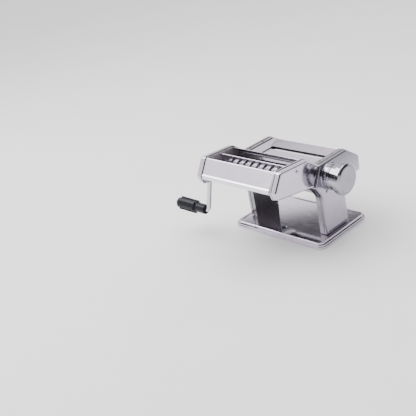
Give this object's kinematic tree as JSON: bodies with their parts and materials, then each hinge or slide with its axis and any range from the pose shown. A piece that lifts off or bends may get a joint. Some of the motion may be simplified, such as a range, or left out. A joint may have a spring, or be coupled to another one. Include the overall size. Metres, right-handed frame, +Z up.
{
  "type": "pasta roller machine",
  "caption": "Hand-cranked kitchen machine that rolls dough into sheets and cuts it into wide or narrow ribbons, with a thickness knob and a lift-off cutter head.",
  "frame": {"origin": "middle of the base, on the table under the feet", "axes": "+X towards the thickness knob, along the rollers; -Y towards the cutter head; +Z up"},
  "size_m": [0.282, 0.2016, 0.1519],
  "materials": {
    "polished_steel": "polished",
    "chromed_knob": "polished",
    "brushed_sheet": "satin",
    "roller_alloy": "satin",
    "cutter_alloy": "satin",
    "gear_steel": "satin",
    "zinc_screws": "satin",
    "spring_steel": "satin",
    "white_bush": "matte",
    "foot_rubber": "matte",
    "crank_rod": "polished",
    "black_grip": "satin"
  },
  "bodies": {
    "frame": {"base_screws": "zinc_screws", "base_shell": "polished_steel", "clamp_block": "zinc_screws", "cover_screws": "zinc_screws", "crank_collar": "chromed_knob", "feed_cheeks": "polished_steel", "feed_tray": "polished_steel", "frame_plate_left": "brushed_sheet", "frame_plate_right": "brushed_sheet", "front_apron": "polished_steel", "front_guide": "polished_steel", "rear_cover": "polished_steel", "rear_scraper": "brushed_sheet", "regulator_boss": "chromed_knob", "roller_bushes": "white_bush", "rubber_feet": "foot_rubber", "side_cover_left": "polished_steel", "side_cover_right": "polished_steel", "tie_nuts": "zinc_screws", "tie_rods": "gear_steel"},
    "rear_roller": {"rear_roller": "roller_alloy", "rear_roller_gear": "gear_steel"},
    "roller_slide": {"slide_arm_left": "brushed_sheet", "slide_arm_right": "brushed_sheet", "slide_rod": "gear_steel", "front_scraper": "brushed_sheet"},
    "front_roller": {"front_roller": "roller_alloy", "front_roller_gear": "gear_steel"},
    "regulator_shaft": {"regulator_shaft": "gear_steel"},
    "regulator_knob": {"regulator_knob": "chromed_knob", "knob_face": "chromed_knob", "knob_spring": "spring_steel"},
    "cutter_head": {"cutter_cover_left": "polished_steel", "cutter_cover_right": "polished_steel", "cutter_frame_left": "brushed_sheet", "cutter_frame_right": "brushed_sheet", "cutter_tie_rods": "gear_steel", "cutter_nuts": "zinc_screws", "cutter_screws": "zinc_screws", "cutter_bushes": "white_bush", "cutter_front_cover": "polished_steel", "cutter_rear_cover": "polished_steel", "cutter_hooks": "polished_steel", "divider_sheet": "polished_steel", "wide_comb_front": "brushed_sheet", "wide_comb_rear": "brushed_sheet", "narrow_comb_front": "brushed_sheet", "narrow_comb_rear": "brushed_sheet"},
    "wide_drive": {"wide_drive_roller": "cutter_alloy", "wide_drive_gear": "gear_steel"},
    "wide_front": {"wide_front_roller": "cutter_alloy", "wide_front_gear": "gear_steel"},
    "narrow_drive": {"narrow_drive_roller": "cutter_alloy", "narrow_drive_gear": "gear_steel"},
    "narrow_rear": {"narrow_rear_roller": "cutter_alloy", "narrow_rear_gear": "gear_steel"},
    "crank": {"crank_arm": "crank_rod", "grip_washer": "zinc_screws"},
    "grip": {"crank_grip": "black_grip", "grip_cap": "black_grip"}
  },
  "joints": [
    {"name": "rear_roller_turn", "type": "hinge", "parent": "frame", "child": "rear_roller", "pos_m": [0, 0.0268, 0.1038], "axis": [1, 0, 0], "continuous": true},
    {"name": "roller_gap", "type": "slide", "parent": "frame", "child": "roller_slide", "axis": [0, -1, 0], "range_m": [-0.0013, 0.0013]},
    {"name": "front_roller_turn", "type": "hinge", "parent": "roller_slide", "child": "front_roller", "pos_m": [0, -0.002, 0.1038], "axis": [1, 0, 0], "continuous": true},
    {"name": "knob_turn", "type": "hinge", "parent": "frame", "child": "regulator_shaft", "pos_m": [0.092, -0.0135, 0.1038], "axis": [1, 0, 0], "range_deg": [-60, 60]},
    {"name": "knob_pull", "type": "slide", "parent": "regulator_shaft", "child": "regulator_knob", "axis": [1, 0, 0], "range_m": [0, 0.0036], "stiffness_N_per_m": 600, "springref_m": -0.004, "deforming": ["knob_spring"]},
    {"name": "cutter_lift", "type": "slide", "parent": "frame", "child": "cutter_head", "axis": [0, 0, 1], "range_m": [0, 0.06]},
    {"name": "wide_drive_turn", "type": "hinge", "parent": "cutter_head", "child": "wide_drive", "pos_m": [0, -0.09705, 0.12587], "axis": [1, 0, 0], "continuous": true},
    {"name": "wide_front_turn", "type": "hinge", "parent": "cutter_head", "child": "wide_front", "pos_m": [0, -0.1145, 0.1272], "axis": [1, 0, 0], "continuous": true},
    {"name": "narrow_drive_turn", "type": "hinge", "parent": "cutter_head", "child": "narrow_drive", "pos_m": [0, -0.07601, 0.12427], "axis": [1, 0, 0], "continuous": true},
    {"name": "narrow_rear_turn", "type": "hinge", "parent": "cutter_head", "child": "narrow_rear", "pos_m": [0, -0.05856, 0.12294], "axis": [1, 0, 0], "continuous": true},
    {"name": "crank_pull", "type": "slide", "parent": "wide_drive", "child": "crank", "axis": [-1, 0, 0], "range_m": [0, 0.025]},
    {"name": "grip_spin", "type": "hinge", "parent": "crank", "child": "grip", "pos_m": [-0.13, -0.109, 0.051], "axis": [1, 0, 0], "continuous": true}
  ],
  "couplings": [
    {"joint": "front_roller_turn", "follows": "rear_roller_turn", "ratio": -1},
    {"joint": "knob_turn", "follows": "roller_gap", "rad_per_m": 805.54},
    {"joint": "wide_front_turn", "follows": "wide_drive_turn", "ratio": -1},
    {"joint": "narrow_rear_turn", "follows": "narrow_drive_turn", "ratio": -1}
  ]
}
